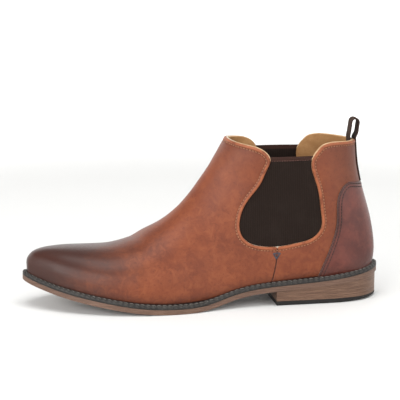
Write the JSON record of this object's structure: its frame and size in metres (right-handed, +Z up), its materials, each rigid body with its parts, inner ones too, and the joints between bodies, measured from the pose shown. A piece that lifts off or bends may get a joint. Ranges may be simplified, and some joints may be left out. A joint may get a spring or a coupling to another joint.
{
  "type": "chelsea boot",
  "caption": "Men's leather ankle boot with elastic side gores, a pull loop at the heel, a stitched welt and a stacked heel.",
  "frame": {"origin": "on the ground, under the middle of the boot's bounding box", "axes": "toe towards -X, heel towards +X, medial side towards +Y (left boot), +Z up"},
  "size_m": [0.3051, 0.1005, 0.1544],
  "materials": {
    "tan_leather": "cognac pull-up leather, waxed",
    "heel_leather": "burnished dark brown leather",
    "brown_tape": "woven dark brown tape",
    "elastic": "ribbed dark brown elastic",
    "thread": "waxed thread",
    "thread_welt": "grey waxed thread",
    "stiffener": "thermoplastic-impregnated fabric",
    "interlining": "cotton interlining",
    "lining_leather": "natural lining leather",
    "insole_leather": "insole leather board",
    "foam": "leather-covered latex foam",
    "shank_steel": "spring steel",
    "cork": "granulated cork",
    "welt_leather": "dyed dark welt strip",
    "sole_leather": "stained sole leather",
    "heel_stack": "stacked heel leather, stained",
    "top_rubber": "black rubber",
    "nail_steel": "bright steel"
  },
  "bodies": {
    "boot": {"vamp": "tan_leather", "quarter_lateral": "tan_leather", "quarter_medial": "tan_leather", "heel_foxing": "heel_leather", "back_strap": "brown_tape", "loop_tab": "brown_tape", "gore_lateral": "elastic", "gore_medial": "elastic", "bar_tack_lateral": "thread", "bar_tack_medial": "thread", "toe_puff": "stiffener", "vamp_interlining": "interlining", "quarter_interlining": "interlining", "heel_counter": "stiffener", "vamp_lining": "lining_leather", "quarter_lining": "lining_leather", "insole_board": "insole_leather", "sock_liner": "lining_leather", "heel_pad": "foam", "shank": "shank_steel", "bottom_filler": "cork", "welt": "welt_leather", "welt_stitching": "thread_welt", "outsole": "sole_leather", "heel_wedge": "heel_stack", "heel_lift_1": "heel_stack", "heel_lift_2": "heel_stack", "heel_lift_3": "heel_stack", "heel_top_piece": "top_rubber", "heel_nails": "nail_steel"},
    "pull_loop": {"pull_loop": "brown_tape"}
  },
  "joints": [
    {"name": "loop_fold", "type": "hinge", "parent": "boot", "child": "pull_loop", "pos_m": [0.129, -0.0007, 0.136], "axis": [0, 1, 0], "range_deg": [-50, 50]}
  ]
}
